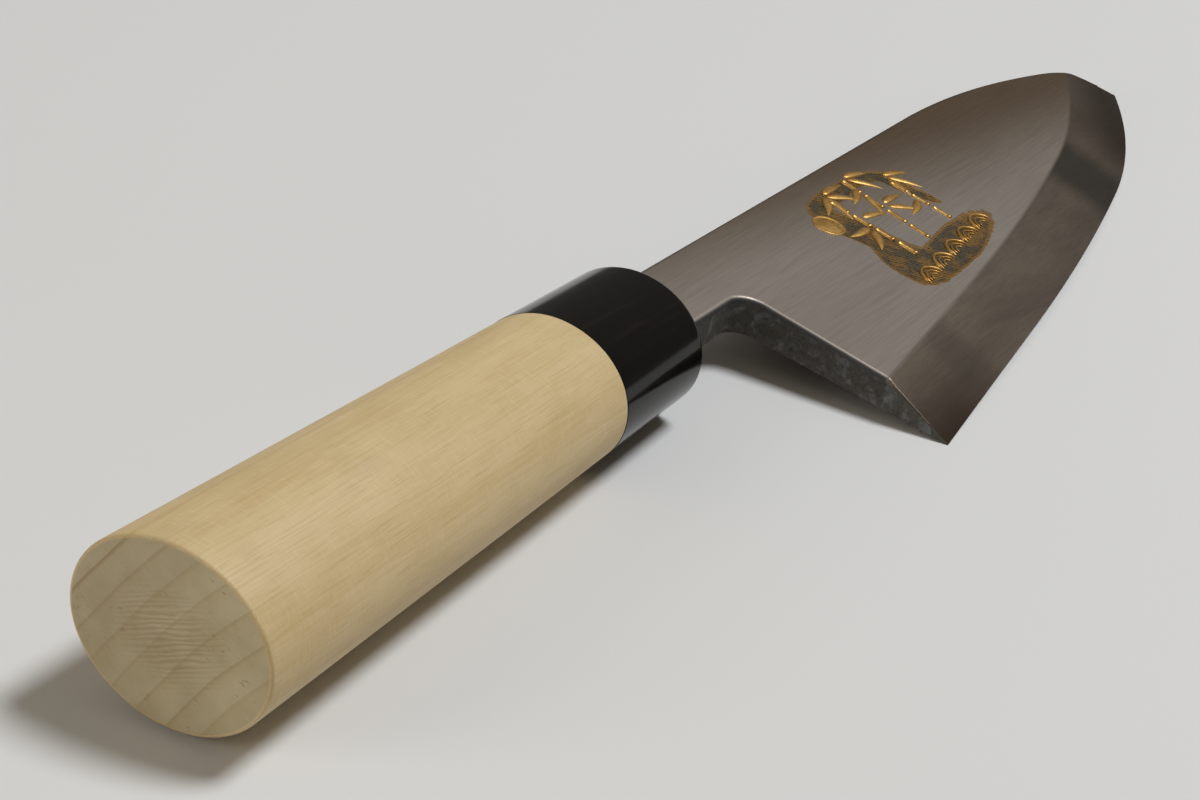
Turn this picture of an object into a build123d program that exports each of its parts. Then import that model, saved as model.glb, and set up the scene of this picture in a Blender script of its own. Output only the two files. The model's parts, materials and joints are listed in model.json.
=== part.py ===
from build123d import *

import os
from math import atan2, cos, degrees, dist, hypot, radians, sin, sqrt, tan

# A right-handed deba knife, lying on its back face as it is laid on a table. Millimetres, +Z up.
# The knife is drawn in its own plane, called knife: x runs from the ferrule's front face to the tip,
# y to the spine and z to the bevelled face. That plane is tilted so that the ferrule's front rim, the
# heel and the edge near the tip touch z = 0. The origin is on the table, at the middle of the length
# and the width.

# Handle: an oval that narrows from the butt to the ferrule's front face
wood_length = 100.0
ferrule_length = 28.0
butt_height = 32.5
butt_thickness = 27.1
front_height = 26.7
front_thickness = 23.4
butt_rounding = 1.2
ferrule_rounding = 1.8

# Joint of wood and ferrule
web_thickness = 10.0
tenon_wall = 4.6
tenon_clearance = 0.1

# Tang, its hole and the seal round the neck
tang_length = 92.0
tang_root_height = 10.0
tang_root_thickness = 5.5
tang_end_height = 5.0
tang_end_thickness = 3.0
tang_clearance = 0.15
hole_spare = 3.0
neck_seat = 6.0
neck_shoulder = 0.8
mouth_gap = 0.6
seal_depth = 3.0

# Blade: heights are measured from the handle's axis
blade_length = 185.0
blade_height = 58.0
spine_height = 7.6
heel_station = 22.4
choil_lean = 2.8
neck_drop = 7.0
neck_turn = 4.2

# Points of its outline, as shares of the length from the heel and of the height from the spine. The
# rest share says how far from the belly to the tip the edge lies on the table.
straight_share = (0.289, 0.903)
belly_share = (0.690, 0.714)
tip_share = (1.0, 0.360)
fall_share = (0.583, 0.0)
brow_share = (0.906, 0.141)
rest_share = 0.56

# Thickness: the front face is flat and runs down to the tip and to the edge. The back face is level as
# far as the heel and then a long shallow arch, so that the heel and the edge near the tip both touch.
back_depth = 4.0
neck_thickness = 8.2
taper_to_tip_share = 0.022
taper_to_edge_share = 0.045
bevel_width = 13.5
edge_land = 0.15
steel_thickness = 1.5
steel_step = 7.6

# Hollow ground in the back face
hollow_rim = 3.0
hollow_depth = 0.45
hollow_station_shares = (0.06, 0.2, 0.4, 0.6, 0.78, 0.92)
hollow_fade_shares = (0.3, 0.9, 1.0, 1.0, 0.8, 0.3)

# Gold inlay: bamboo and a moon over waves, set flush in the front face. Places are shares of the
# picture's width and height, from its middle.
inlay_depth = 0.5
picture_share = (0.330, 0.338)
picture_width = 42.0
picture_height = 32.0
culm_width = 1.5
culm_gap = 0.5
culm_shares = [
    # foot, top, number of lengths between its knots
    ((-0.250, -0.234), (-0.155, 0.391), 4),
    ((-0.036, -0.219), (0.119, 0.438), 4),
    ((0.274, -0.234), (0.345, 0.219), 3),
]
leaf_length = 7.4
leaf_width = 1.9
leaf_gap = 0.2
leaf_shares = [
    # stalk end, direction in degrees
    ((-0.140, 0.425), 205), ((-0.133, 0.412), 243),
    ((-0.124, 0.419), 318), ((-0.110, 0.444), 352),
    ((-0.229, 0.100), 170), ((-0.233, 0.069), 212),
    ((-0.148, 0.169), 338),
    ((0.102, 0.331), 196), ((0.081, 0.269), 232),
    ((0.152, 0.412), 300), ((0.164, 0.438), 338),
    ((0.086, 0.106), 316), ((0.100, 0.144), 350),
    ((0.364, 0.237), 248), ((0.379, 0.244), 296),
    ((0.381, 0.275), 334), ((0.290, 0.006), 190),
]
moon_radius = 3.3
moon_share = (-0.393, 0.281)
wave_pitch = 8.0
wave_rise = 3.2
wave_width = 0.6
wave_count = 5
wave_base = 12.9

# How far a cutting tool reaches past what it cuts
overrun = 5.0

handle_length = wood_length + ferrule_length


def heading(start, end):
    """The direction from one point to another, in degrees."""
    return degrees(atan2(end[1] - start[1], end[0] - start[0]))


def arriving(start, leaving, end):
    """The direction in which the arc that leaves start at an angle reaches end."""
    return 2 * heading(start, end) - leaving


def along(start, leaving, end, share):
    """The point and the direction at a share of that arc, or of the line where it doesn't turn."""
    turn = heading(start, end) - leaving
    chord = dist(start, end)
    reach = chord * share
    if abs(sin(radians(turn))) > 1e-9:
        reach = chord * sin(radians(turn * share)) / sin(radians(turn))
    way = radians(leaving + turn * share)
    point = (start[0] + reach * cos(way), start[1] + reach * sin(way))
    return point, leaving + 2 * turn * share


def on_blade(shares):
    """The station and height of a point given by its shares of the blade's length and height."""
    return heel_station + blade_length * shares[0], spine_height - blade_height * shares[1]


# Outline of the blade as runs of start, leaving direction and end
heel = on_blade((0, 1))
straight_end = on_blade(straight_share)
belly = on_blade(belly_share)
tip = on_blade(tip_share)
fall = on_blade(fall_share)
brow = on_blade(brow_share)
edge_heading = heading(heel, straight_end)
belly_heading = arriving(straight_end, edge_heading, belly)
brow_heading = arriving(fall, 0, brow)
edge_runs = [
    (heel, edge_heading, straight_end),
    (straight_end, edge_heading, belly),
    (belly, belly_heading, tip),
]
spine_runs = [
    ((0, spine_height), 0, fall),
    (fall, 0, brow),
    (brow, brow_heading, tip),
]


def height_at(runs, station):
    """How high an outline lies at a station, found by halving."""
    start, leaving, end = next(run for run in runs if station <= run[2][0])
    low, high = 0.0, 1.0
    for _ in range(40):
        middle = (low + high) / 2
        if along(start, leaving, end, middle)[0][0] < station:
            low = middle
        else:
            high = middle
    return along(start, leaving, end, low)[0][1]


def flat_level(station, height):
    """The level of the front face over a place on the blade."""
    return (
        neck_thickness - back_depth
        - taper_to_tip_share * station
        - taper_to_edge_share * (spine_height - height)
    )


def oval(station):
    """Half the handle's height and half its thickness at a station, which is negative."""
    share = -station / handle_length
    height = front_height + (butt_height - front_height) * share
    thickness = front_thickness + (butt_thickness - front_thickness) * share
    return height / 2, thickness / 2


def tang_size(station):
    """The tang's height and thickness at a station, which is negative."""
    share = (-station - neck_seat) / (tang_length - neck_seat)
    height = tang_root_height + (tang_end_height - tang_root_height) * share
    thickness = tang_root_thickness + (tang_end_thickness - tang_root_thickness) * share
    return height, thickness


# The table, seen from the knife: it touches the ferrule's rim, the heel and the edge near the tip
rim_height, rim_thickness = oval(-ferrule_rounding)
(rest_station, rest_height), rest_heading = along(*edge_runs[-1], rest_share)
chord_slope = (rest_height - heel[1]) / (rest_station - heel[0])
tangent_height = heel[1] - chord_slope * (heel[0] + ferrule_rounding)
spread = tangent_height**2 - rim_height**2
lift = rim_thickness**2 - back_depth**2
depth_term = back_depth * tangent_height
roll_slope = (-depth_term - sqrt(depth_term**2 + spread * lift)) / spread
pitch_slope = -roll_slope * chord_slope
middle_station = (tip[0] - handle_length) / 2
middle_across = (
    hypot(butt_height / 2, roll_slope * butt_thickness / 2) + heel[1] - roll_slope * back_depth
) / 2
axis_level = -back_depth + pitch_slope * (middle_station - heel[0]) - roll_slope * heel[1]
middle_height = (middle_across - roll_slope * axis_level) / (1 + roll_slope**2)
table_level = axis_level + roll_slope * middle_height
table = Plane(
    origin=(middle_station, middle_height, table_level),
    x_dir=(1, 0, pitch_slope),
    z_dir=(-pitch_slope, -roll_slope, 1),
)
knife = Plane(table.location.inverse())

# The arch of the back face, which the table just meets where the edge rests
arch_half = (rest_station - heel[0]) / 2
arch_middle = (rest_station + heel[0]) / 2
arch_angle = atan2(-roll_slope * (tan(radians(rest_heading)) - chord_slope), 1)
arch_radius = arch_half / sin(arch_angle)
arch_centre = -back_depth - arch_radius * cos(arch_angle)
far = tip[0] + overrun


def arch_level(station, lift=0):
    """The level of the back face, or of a layer's top at a lift above it."""
    from_middle = max(station, heel[0]) - arch_middle
    return arch_centre + sqrt((arch_radius + lift) ** 2 - from_middle**2)


def at(station, height, level):
    """A place on the knife as a point of the finished part."""
    return knife.from_local_coords(Vector(station, height, level))


def way(station, height, level=0):
    """A direction on the knife as a direction of the finished part."""
    return at(station, height, level) - at(0, 0, 0)


def across(station, level=0):
    """The plane across the knife at a station: its x is the height, its y the level."""
    return Plane(origin=at(station, 0, level), x_dir=knife.y_dir, z_dir=knife.x_dir)


def outline(runs):
    """The lines and arcs of an outline, inside a BuildLine block."""
    for start, leaving, end in runs:
        if abs(heading(start, end) - leaving) > 1e-6:
            ThreePointArc(start, along(start, leaving, end, 0.5)[0], end)
        else:
            Line(start, end)


def arch(lift=0):
    """The back face's line, seen along the knife's height, or a layer's top at a lift above it."""
    level = arch_level(0, lift)
    Line((0, level), (heel[0], level))
    ThreePointArc(
        (heel[0], level), (arch_middle, arch_level(arch_middle, lift)), (far, arch_level(far, lift))
    )


# The planes that the blade is drawn in: from below, from its side and on its front face
below = knife.offset(-back_depth - overrun)
side = Plane(origin=at(0, 0, 0), x_dir=knife.x_dir, z_dir=-knife.y_dir)
front = Plane(
    origin=at(0, 0, flat_level(0, 0)),
    x_dir=way(1, 0, -taper_to_tip_share),
    z_dir=way(taper_to_tip_share, -taper_to_edge_share, 1),
)

# Neck and choil
neck_height = spine_height + neck_drop
mouth_middle = (spine_height - neck_drop) / 2
mouth_level = neck_thickness / 2 - back_depth
choil_top = (heel_station + choil_lean, -neck_drop - neck_turn)
neck_low = (choil_top[0] - neck_turn, -neck_drop)
steel_end = (choil_top[0] + steel_step, spine_height)

# Tool that grinds the bevel, along the whole edge
bevel_run_shares = [
    (0, -0.2), (0, 0.4), (1, 0.0), (1, 0.25), (1, 0.5), (1, 0.75), (2, 0.0), (2, 0.5), (2, 1.0), (2, 1.3),
]
bevel_reach = 1.5 * bevel_width

with BuildPart() as bevel_tool:
    for run, share in bevel_run_shares:
        (station, height), direction = along(*edge_runs[run], share)
        inward = (-sin(radians(direction)), cos(radians(direction)))
        edge_level = arch_level(station) + edge_land
        ridge = flat_level(station + bevel_width * inward[0], height + bevel_width * inward[1])
        rise = (ridge - edge_level) / bevel_width
        grind = Plane(
            origin=at(station, height, edge_level),
            x_dir=way(*inward),
            z_dir=way(inward[1], -inward[0]),
        )
        with BuildSketch(grind):
            with BuildLine():
                Polyline(
                    (-overrun, -overrun * rise),
                    (bevel_reach, bevel_reach * rise),
                    (-overrun, bevel_reach * rise),
                    close=True,
                )
            make_face()
    loft()

# Tool that grinds the hollow of the back face
with BuildPart() as hollow_tool:
    widest = blade_height - 2 * hollow_rim
    for station_share, fade_share in zip(hollow_station_shares, hollow_fade_shares):
        station = heel_station + blade_length * station_share
        low = height_at(edge_runs, station) + hollow_rim
        high = height_at(spine_runs, station) - hollow_rim
        depth = hollow_depth * fade_share * (high - low) / widest
        with BuildSketch(across(station, arch_level(station))):
            with BuildLine():
                Polyline((low, 0), (low, -overrun), (high, -overrun), (high, 0))
                ThreePointArc((high, 0), ((low + high) / 2, depth), (low, 0))
            make_face()
    loft()

# Edge steel: the hard layer of the back face, forge-welded under the iron as far as the neck
with BuildPart() as steel_blank:
    with BuildSketch(below):
        with BuildLine():
            outline([(steel_end, 0, fall)] + spine_runs[1:])
            outline(edge_runs)
            Line(heel, choil_top)
            Line(choil_top, steel_end)
        make_face()
    extrude(amount=neck_thickness + overrun)
    with BuildSketch(side):
        with BuildLine():
            arch()
            arch(steel_thickness)
            for station in (0, far):
                Line((station, arch_level(station)), (station, arch_level(station, steel_thickness)))
        make_face()
    extrude(amount=blade_height, both=True, mode=Mode.INTERSECT)

with BuildPart() as edge_steel:
    add(steel_blank.part)
    add(bevel_tool.part, mode=Mode.SUBTRACT)
    add(hollow_tool.part, mode=Mode.SUBTRACT)
edge_steel.part.label = "edge_steel"

# Picture on the front face: the plane lies along the edge, with its origin in the picture's middle
tilt = Vector(cos(radians(edge_heading)), sin(radians(edge_heading)))
picture_middle = on_blade(picture_share)
picture = Plane(
    origin=at(*picture_middle, flat_level(*picture_middle)),
    x_dir=front.x_dir * tilt.X + front.y_dir * tilt.Y,
    z_dir=front.z_dir,
)


def spot(shares):
    """A place in the picture, from its shares of the width and the height."""
    return shares[0] * picture_width, shares[1] * picture_height


with BuildSketch(picture) as culm_sketch:
    for foot_share, top_share, count in culm_shares:
        foot, top = spot(foot_share), spot(top_share)
        length = dist(foot, top) / count - culm_gap
        for number in range(count):
            share = (number + 0.5) / count
            place = (foot[0] + (top[0] - foot[0]) * share, foot[1] + (top[1] - foot[1]) * share)
            with Locations(Location((*place, 0), (0, 0, heading(foot, top)))):
                SlotOverall(length, culm_width)

with BuildSketch() as leaf:
    with BuildLine():
        ThreePointArc((0, 0), (leaf_length / 3, leaf_width / 2), (leaf_length, 0))
        ThreePointArc((leaf_length, 0), (leaf_length / 3, -leaf_width / 2), (0, 0))
    make_face()

with BuildSketch(picture) as leaf_sketch:
    for stalk_share, direction in leaf_shares:
        with Locations(Location((*spot(stalk_share), 0), (0, 0, direction))):
            add(leaf.sketch)
    offset(culm_sketch.sketch_local, amount=leaf_gap, mode=Mode.SUBTRACT)

with BuildSketch(picture) as moon_sketch:
    with Locations(spot(moon_share)):
        Circle(moon_radius)

with BuildSketch(picture) as wave_sketch:
    for number in range(wave_count):
        middle = (number - (wave_count - 1) / 2) * wave_pitch
        with BuildLine(mode=Mode.PRIVATE) as crest:
            ThreePointArc(
                (middle - 0.42 * wave_pitch, -wave_base),
                (middle, wave_rise - wave_base),
                (middle + 0.42 * wave_pitch, -wave_base),
            )
        SlotArc(crest.edge(), wave_width)

# Soft iron: the front of the blade with the neck and the tang
with BuildPart() as blade_iron:
    with BuildSketch(below):
        with BuildLine():
            outline(spine_runs)
            outline(edge_runs)
            Line(heel, choil_top)
            outline([(neck_low, 0, choil_top)])
            Line(neck_low, (0, -neck_drop))
            Line((0, -neck_drop), (0, spine_height))
        make_face()
    extrude(amount=neck_thickness + 2 * overrun)
    with BuildSketch(side):
        with BuildLine():
            arch()
            Polyline((0, arch_level(0)), (0, neck_thickness), (far, neck_thickness), (far, arch_level(far)))
        make_face()
    extrude(amount=blade_height, both=True, mode=Mode.INTERSECT)
    split(bisect_by=front, keep=Keep.BOTTOM)
    add(bevel_tool.part, mode=Mode.SUBTRACT)
    add(steel_blank.part, mode=Mode.SUBTRACT)
    for drawing in (culm_sketch, leaf_sketch, moon_sketch, wave_sketch):
        extrude(drawing.sketch, amount=-inlay_depth, mode=Mode.SUBTRACT)
    with BuildSketch(across(0)):
        with Locations((mouth_middle, mouth_level)):
            Rectangle(neck_height - 2 * neck_shoulder, neck_thickness - 2 * neck_shoulder)
    extrude(amount=-neck_seat)
    for station in (-neck_seat, -tang_length):
        with BuildSketch(across(station)):
            Rectangle(*tang_size(station))
    loft()
blade_iron.part.label = "blade_iron"

# Gold pieces, each hammered into its own bed
with BuildPart() as gold_culms:
    extrude(culm_sketch.sketch, amount=-inlay_depth)
gold_culms.part.label = "gold_culms"

with BuildPart() as gold_leaves:
    extrude(leaf_sketch.sketch, amount=-inlay_depth)
gold_leaves.part.label = "gold_leaves"

with BuildPart() as gold_moon:
    extrude(moon_sketch.sketch, amount=-inlay_depth)
gold_moon.part.label = "gold_moon"

with BuildPart() as gold_waves:
    extrude(wave_sketch.sketch, amount=-inlay_depth)
gold_waves.part.label = "gold_waves"

# Ferrule: a horn cap with a bore for the wood's tenon and a mouth for the neck
tenon_height, tenon_thickness = (half - tenon_wall for half in oval(-ferrule_length))

with BuildSketch(across(0)) as mouth:
    with Locations((mouth_middle, mouth_level)):
        Rectangle(neck_height + 2 * mouth_gap, neck_thickness + 2 * mouth_gap)

with BuildPart() as ferrule:
    for station in (-ferrule_length, 0):
        with BuildSketch(across(station)):
            Ellipse(*oval(station))
    loft(ruled=True)
    front_rim = ferrule.edges().sort_by(Axis(at(0, 0, 0), knife.x_dir))[-1]
    fillet(front_rim, ferrule_rounding)
    with BuildSketch(across(-ferrule_length)):
        Ellipse(tenon_height + tenon_clearance, tenon_thickness + tenon_clearance)
    extrude(amount=ferrule_length - web_thickness, mode=Mode.SUBTRACT)
    extrude(mouth.sketch, amount=-web_thickness, mode=Mode.SUBTRACT)
ferrule.part.label = "ferrule"

# Wooden handle: the tenon reaches to the ferrule's web, and the tang's hole is burnt in from its end
with BuildPart() as handle_wood:
    for station in (-handle_length, -ferrule_length):
        with BuildSketch(across(station)):
            Ellipse(*oval(station))
    loft(ruled=True)
    butt_rim = handle_wood.edges().sort_by(Axis(at(0, 0, 0), knife.x_dir))[0]
    fillet(butt_rim, butt_rounding)
    with BuildSketch(across(-ferrule_length)):
        Ellipse(tenon_height, tenon_thickness)
    extrude(amount=ferrule_length - web_thickness - tenon_clearance)
    for station in (-web_thickness, -tang_length - hole_spare):
        height, thickness = tang_size(station)
        with BuildSketch(across(station)):
            Rectangle(height + 2 * tang_clearance, thickness + 2 * tang_clearance)
    loft(mode=Mode.SUBTRACT)
handle_wood.part.label = "handle_wood"

# Seal: the resin poured round the neck in the ferrule's mouth
with BuildPart() as tang_seal:
    extrude(mouth.sketch, amount=-seal_depth)
    add(blade_iron.part, mode=Mode.SUBTRACT)
tang_seal.part.label = "tang_seal"

os.makedirs("parts", exist_ok=True)
for piece in (
    blade_iron, edge_steel, ferrule, handle_wood, tang_seal,
    gold_culms, gold_leaves, gold_moon, gold_waves,
):
    export_step(piece.part, f"parts/{piece.part.label}.step")
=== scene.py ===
import json
import math

import bmesh
import bpy
import numpy as np
from mathutils import Matrix, Vector, noise


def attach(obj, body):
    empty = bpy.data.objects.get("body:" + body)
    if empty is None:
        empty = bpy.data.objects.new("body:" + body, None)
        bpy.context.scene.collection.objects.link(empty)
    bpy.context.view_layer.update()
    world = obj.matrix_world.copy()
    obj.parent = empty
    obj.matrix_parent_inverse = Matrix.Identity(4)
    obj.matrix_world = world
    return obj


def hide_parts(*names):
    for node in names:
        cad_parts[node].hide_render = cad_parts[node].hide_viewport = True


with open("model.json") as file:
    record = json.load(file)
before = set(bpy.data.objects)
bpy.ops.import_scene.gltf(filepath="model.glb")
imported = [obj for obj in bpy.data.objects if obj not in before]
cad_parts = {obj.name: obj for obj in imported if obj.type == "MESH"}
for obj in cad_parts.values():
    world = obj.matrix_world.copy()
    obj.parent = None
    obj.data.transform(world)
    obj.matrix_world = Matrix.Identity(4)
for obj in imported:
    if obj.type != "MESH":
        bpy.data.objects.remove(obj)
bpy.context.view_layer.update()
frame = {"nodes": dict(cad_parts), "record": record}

# A deba knife on a pale table. The frame is in metres. The sizes below are in millimetres in the
# knife's own plane: x from the ferrule's front face to the tip, y to the spine, z to the bevelled face.
mm = 0.001

# Camera and its lens, as the photograph was taken
camera_place = (-0.4331, -0.1665, 0.2157)
camera_aim = (-0.0430, 0.0192, 0.0)
camera_roll = 7.865
camera_lens = 87.7

# Handle
wood_length = 100.0
ferrule_length = 28.0
handle_length = wood_length + ferrule_length
butt_height = 32.5
butt_thickness = 27.1
front_height = 26.7
front_thickness = 23.4
butt_rounding = 0.6
ferrule_rounding = 1.8
seam_rounding = 0.16
ferrule_wall = 4.6
web_thickness = 10.0
mouth_gap = 0.6
mouth_rounding = 0.35
mouth_bend = 0.1
planed_depth = 0.05

# Growth rings of the wood
pith_offset = (97.0, 52.0)
ring_spacing = 4.3

# Blade
blade_length = 185.0
blade_height = 58.0
spine_height = 7.6
heel_station = 22.4
choil_lean = 2.8
neck_drop = 7.0
neck_turn = 4.2
straight_share = (0.289, 0.903)
belly_share = (0.690, 0.714)
tip_share = (1.0, 0.360)
fall_share = (0.583, 0.0)
brow_share = (0.906, 0.141)
rest_share = 0.56
back_depth = 4.0
neck_thickness = 8.2
taper_to_tip_share = 0.022
taper_to_edge_share = 0.045
bevel_width = 13.5
edge_land = 0.06
steel_thickness = 1.5
steel_step = 7.6

# Finish of the blade: rounded corners, forge scale on the choil, and the ground of the picture
corner_rounding = 0.75
scale_relief = 0.22
ground_depth = 0.14
neck_inside = 3.0

# Lines drawn over the blade from the edge to the spine: where their middles lie, and how far along
# the edge they still lean to follow the choil
middle_share = 0.57
ridge_fade = 45.0
spine_fade = 60.0
line_spacing = 0.45
longest_line = 80.0

# Hollow ground into the steel's back, inside a flat rim
hollow_depth = 0.45
hollow_rim = 3.0
hollow_reach = 20.0

# Gold picture
inlay_sink = 0.35
inlay_rise = 0.32
picture_share = (0.330, 0.338)
picture_width = 42.0
picture_height = 32.0
culm_width = 1.5
culm_gap = 0.5
culm_closing = 0.35
knot_place = 0.45
knot_width = 0.28
culm_shares = [
    # foot, top, number of lengths between its knots
    ((-0.250, -0.234), (-0.155, 0.391), 4),
    ((-0.036, -0.219), (0.119, 0.438), 4),
    ((0.274, -0.234), (0.345, 0.219), 3),
]
leaf_length = 7.4
leaf_width = 1.9
leaf_bend = 0.35
leaf_shares = [
    # stalk end, direction in degrees
    ((-0.140, 0.425), 205), ((-0.133, 0.412), 243),
    ((-0.124, 0.419), 318), ((-0.110, 0.444), 352),
    ((-0.229, 0.100), 170), ((-0.233, 0.069), 212),
    ((-0.148, 0.169), 338),
    ((0.102, 0.331), 196), ((0.081, 0.269), 232),
    ((0.152, 0.412), 300), ((0.164, 0.438), 338),
    ((0.086, 0.106), 316), ((0.100, 0.144), 350),
    ((0.364, 0.237), 248), ((0.379, 0.244), 296),
    ((0.381, 0.275), 334), ((0.290, 0.006), 190),
]
moon_radius = 3.3
moon_share = (-0.393, 0.281)
wave_pitch = 8.0
wave_rise = 3.2
wave_width = 0.6
wave_count = 5
wave_base = 12.9
wave_half_share = 0.42
wave_insets = (0.0, 1.1, 2.1)

# Table and light, in metres and watts
table_half = 3.0
room_axis = (-0.45, -0.20, 0.87)
lamps = [
    # name, place, what it points at, width, power, colour
    ("window", (0.78, -0.66, 2.20), (-0.03, 0.0, 0.0), 0.75, 47.0, (0.96, 0.985, 1.0)),
    ("far wall", (-1.30, 0.75, 0.55), (-0.10, 0.0, 0.0), 0.80, 6.0, (1.0, 0.96, 0.90)),
]


def add_object(name, data):
    made = bpy.data.objects.new(name, data)
    bpy.context.scene.collection.objects.link(made)
    return made


def add_camera():
    data = bpy.data.cameras.new("camera")
    data.lens = camera_lens
    data.sensor_width = 36.0
    data.clip_start = 0.01
    data.clip_end = 20.0
    camera = add_object("camera", data)
    look = Vector(camera_aim) - Vector(camera_place)
    roll = Matrix.Rotation(math.radians(camera_roll), 3, "Z")
    turn = look.to_track_quat("-Z", "Y").to_matrix() @ roll
    camera.matrix_world = Matrix.Translation(camera_place) @ turn.to_4x4()
    bpy.context.scene.camera = camera


add_camera()


def knife_plane():
    """The knife's plane in the row frame, from the record's two mounts."""
    mounts = {mount["name"]: mount for mount in frame["record"]["mounts"]}
    butt = Vector(mounts["butt_end"]["pos_m"])
    along_x = -Vector(mounts["butt_end"]["axis"]).normalized()
    normal = Vector(mounts["blade_flat"]["axis"])
    lean = (normal - along_x * normal.dot(along_x)).normalized()
    up = Matrix.Rotation(-math.atan(taper_to_edge_share), 3, along_x) @ lean
    across = up.cross(along_x)
    turn = Matrix((along_x, across, up)).transposed()
    return np.array(turn), np.array(butt + along_x * handle_length * mm)


knife_turn, knife_origin = knife_plane()


def to_row(points):
    """Points of the knife's plane in millimetres as points of the row frame in metres."""
    return np.asarray(points, float) @ knife_turn.T * mm + knife_origin


def from_row(points):
    """Points of the row frame in metres as points of the knife's plane in millimetres."""
    return (np.asarray(points, float) - knife_origin) @ knife_turn / mm


# Arcs and lines of the outline, as the CAD source works them out
def heading(start, end):
    return math.degrees(math.atan2(end[1] - start[1], end[0] - start[0]))


def arriving(start, leaving, end):
    return 2 * heading(start, end) - leaving


def along(start, leaving, end, share):
    """The point and the direction at a share of an arc, or of the line where it doesn't turn."""
    turn = heading(start, end) - leaving
    chord = math.dist(start, end)
    reach = chord * share
    if abs(math.sin(math.radians(turn))) > 1e-9:
        reach = chord * math.sin(math.radians(turn * share)) / math.sin(math.radians(turn))
    way = math.radians(leaving + turn * share)
    point = (start[0] + reach * math.cos(way), start[1] + reach * math.sin(way))
    return point, leaving + 2 * turn * share


def on_blade(shares):
    return heel_station + blade_length * shares[0], spine_height - blade_height * shares[1]


heel = on_blade((0, 1))
straight_end = on_blade(straight_share)
belly = on_blade(belly_share)
tip = on_blade(tip_share)
fall = on_blade(fall_share)
brow = on_blade(brow_share)
edge_heading = heading(heel, straight_end)
edge_runs = [
    (heel, edge_heading, straight_end),
    (straight_end, edge_heading, belly),
    (belly, arriving(straight_end, edge_heading, belly), tip),
]
spine_runs = [
    ((-neck_inside, spine_height), 0, fall),
    (fall, 0, brow),
    (brow, arriving(fall, 0, brow), tip),
]
choil_top = (heel_station + choil_lean, -neck_drop - neck_turn)
neck_low = (choil_top[0] - neck_turn, -neck_drop)
steel_end = (choil_top[0] + steel_step, spine_height)


def running_length(points):
    """How far along a line each of its points lies."""
    return np.concatenate([[0], np.cumsum(np.hypot(*np.diff(points, axis=0).T))])


def trace(runs, count=400):
    """Points and directions along runs, closely spaced, with their distance from the start."""
    places = [along(*run, number / count) for run in runs for number in range(count + 1)]
    points, ways = (np.array(part) for part in zip(*places))
    return points, ways, running_length(points)


edge_points, edge_ways, edge_reach = trace(edge_runs)
spine_points, _, _ = trace(spine_runs)


def flat_level(x, y):
    """Level of the front face, for numbers, arrays or nodes' outputs."""
    at_neck = neck_thickness - back_depth
    return at_neck - taper_to_tip_share * x - taper_to_edge_share * (spine_height - y)


def oval(station):
    """Half the handle's height and half its thickness at a station."""
    share = -station / handle_length
    height = front_height + (butt_height - front_height) * share
    thickness = front_thickness + (butt_thickness - front_thickness) * share
    return height / 2, thickness / 2


def back_arch():
    """Middle, radius and centre level of the back's arch, from how the knife rests on the table."""
    rim_height, rim_thickness = oval(-ferrule_rounding)
    (rest_station, rest_height), rest_heading = along(*edge_runs[-1], rest_share)
    chord = (rest_height - heel[1]) / (rest_station - heel[0])
    depth_term = back_depth * (heel[1] - chord * (heel[0] + ferrule_rounding))
    spread = (depth_term / back_depth) ** 2 - rim_height**2
    lift = rim_thickness**2 - back_depth**2
    roll = (-depth_term - math.sqrt(depth_term**2 + spread * lift)) / spread
    half = (rest_station - heel[0]) / 2
    angle = math.atan(-roll * (math.tan(math.radians(rest_heading)) - chord))
    radius = half / math.sin(angle)
    return (rest_station + heel[0]) / 2, radius, -back_depth - radius * math.cos(angle)


arch_middle, arch_radius, arch_centre = back_arch()


def arch_level(x, lift=0):
    """Level of the back face, or of a layer's top at a lift above it."""
    aside = np.maximum(x, heel[0]) - arch_middle
    return arch_centre + np.sqrt((arch_radius + lift) ** 2 - aside**2)


def add_attribute(mesh, name, values, kind="FLOAT", field="value"):
    mesh.attributes.new(name, kind, "POINT").data.foreach_set(field, np.ravel(values).astype(float))


def knife_points(mesh):
    """The places of a mesh's points in the knife's plane, as its shell gave them."""
    points = np.zeros(len(mesh.vertices) * 3)
    mesh.attributes["knife"].data.foreach_get("vector", points)
    return points.reshape(-1, 3)


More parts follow.
